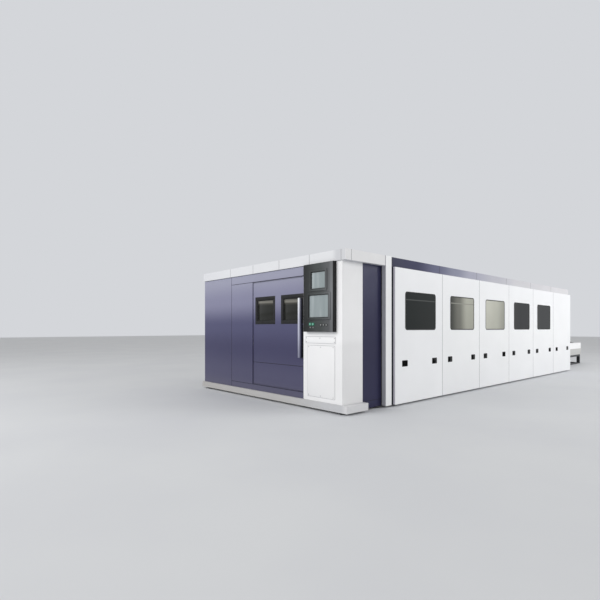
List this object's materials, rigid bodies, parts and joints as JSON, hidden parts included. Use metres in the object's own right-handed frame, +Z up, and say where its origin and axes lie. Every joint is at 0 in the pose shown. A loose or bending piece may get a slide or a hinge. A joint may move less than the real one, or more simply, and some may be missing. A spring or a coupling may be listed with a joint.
{
  "type": "fiber laser cutting machine",
  "caption": "Enclosed sheet laser cutter with a sliding front door, a control console, windowed side covers and a rear pallet exchange station",
  "frame": {"origin": "on the floor, at the middle of the machine's whole footprint", "axes": "+X to the operator's right, +Y from the front door towards the exchange station, +Z up"},
  "size_m": [3.784, 12.5, 2.23],
  "materials": {
    "white_paint": "satin powder coat",
    "purple_paint": "satin powder coat",
    "black_plastic": "matt",
    "charcoal_paint": "satin",
    "bare_steel": "brushed",
    "frame_grey": "matt",
    "tinted_pane": "gloss",
    "screen_glass": "gloss",
    "green_button": "gloss",
    "grey_plastic": "satin",
    "lamp_diffuser": "matt"
  },
  "bodies": {
    "root": {"console_column": "white_paint", "console_cover": "white_paint", "console_strip": "white_paint", "control_housing": "charcoal_paint", "crown_fascia": "white_paint", "electrical_cabinet": "frame_grey", "enclosure_frame": "frame_grey", "front_plinth": "white_paint", "front_roof": "white_paint", "header_panel": "purple_paint", "indicator_lamp_1": "grey_plastic", "indicator_lamp_2": "grey_plastic", "left_front_panel": "purple_paint", "left_side_covers": "white_paint", "linear_rail_left": "bare_steel", "linear_rail_right": "bare_steel", "long_fascia_left": "purple_paint", "long_fascia_right": "purple_paint", "lower_screen": "screen_glass", "machine_bed": "frame_grey", "main_roof": "white_paint", "narrow_front_panel": "purple_paint", "partition_wall": "frame_grey", "portal_frame": "white_paint", "rear_wall": "white_paint", "side_cover_1": "white_paint", "side_cover_2": "white_paint", "side_cover_3": "white_paint", "side_cover_4": "white_paint", "side_cover_5": "white_paint", "side_cover_6": "white_paint", "side_panel_left": "purple_paint", "side_panel_right": "purple_paint", "side_window_1": "tinted_pane", "side_window_2": "tinted_pane", "side_window_3": "tinted_pane", "side_window_4": "tinted_pane", "side_window_5": "tinted_pane", "sill_panel": "purple_paint", "station_frame": "frame_grey", "upper_screen": "screen_glass", "work_light": "lamp_diffuser"},
    "front_door": {"door_leaf": "purple_paint", "door_lower_panel": "purple_paint", "door_window_left": "black_plastic", "door_window_right": "black_plastic", "door_handle": "bare_steel"},
    "gantry": {"gantry_beam": "white_paint"},
    "carriage": {"cross_carriage": "charcoal_paint"},
    "head": {"vertical_slide": "white_paint", "cutting_head": "bare_steel"},
    "lift": {"lift_deck": "white_paint"},
    "upper_pallet": {"upper_pallet": "charcoal_paint"},
    "lower_pallet": {"lower_pallet": "charcoal_paint"},
    "gate": {"bay_gate": "black_plastic"},
    "start_button_1": {"start_button_1": "green_button"},
    "start_button_2": {"start_button_2": "green_button"},
    "panel_button_1": {"panel_button_1": "grey_plastic"},
    "panel_button_2": {"panel_button_2": "grey_plastic"},
    "panel_button_3": {"panel_button_3": "grey_plastic"}
  },
  "joints": [
    {"name": "front_door_slide", "type": "slide", "parent": "root", "child": "front_door", "axis": [-1, 0, 0], "range_m": [0, 1.12]},
    {"name": "gantry_travel", "type": "slide", "parent": "root", "child": "gantry", "axis": [0, 1, 0], "range_m": [-0.1, 5.25]},
    {"name": "carriage_travel", "type": "slide", "parent": "gantry", "child": "carriage", "axis": [1, 0, 0], "range_m": [-1.02, 1.02]},
    {"name": "head_lift", "type": "slide", "parent": "carriage", "child": "head", "axis": [0, 0, -1], "range_m": [0, 0.12]},
    {"name": "station_lift", "type": "slide", "parent": "root", "child": "lift", "axis": [0, 0, 1], "range_m": [0, 0.22]},
    {"name": "upper_pallet_shuttle", "type": "slide", "parent": "lift", "child": "upper_pallet", "axis": [0, 1, 0], "range_m": [-5.2, 0]},
    {"name": "lower_pallet_shuttle", "type": "slide", "parent": "lift", "child": "lower_pallet", "axis": [0, 1, 0], "range_m": [-5.2, 0]},
    {"name": "gate_slide", "type": "slide", "parent": "root", "child": "gate", "axis": [0, 0, -1], "range_m": [0, 0.6]},
    {"name": "start_button_1_press", "type": "slide", "parent": "root", "child": "start_button_1", "axis": [0, 1, 0], "range_m": [0, 0.004], "stiffness_N_per_m": 900},
    {"name": "start_button_2_press", "type": "slide", "parent": "root", "child": "start_button_2", "axis": [0, 1, 0], "range_m": [0, 0.004], "stiffness_N_per_m": 900},
    {"name": "panel_button_1_press", "type": "slide", "parent": "root", "child": "panel_button_1", "axis": [0, 1, 0], "range_m": [0, 0.004], "stiffness_N_per_m": 900},
    {"name": "panel_button_2_press", "type": "slide", "parent": "root", "child": "panel_button_2", "axis": [0, 1, 0], "range_m": [0, 0.004], "stiffness_N_per_m": 900},
    {"name": "panel_button_3_press", "type": "slide", "parent": "root", "child": "panel_button_3", "axis": [0, 1, 0], "range_m": [0, 0.004], "stiffness_N_per_m": 900}
  ]
}
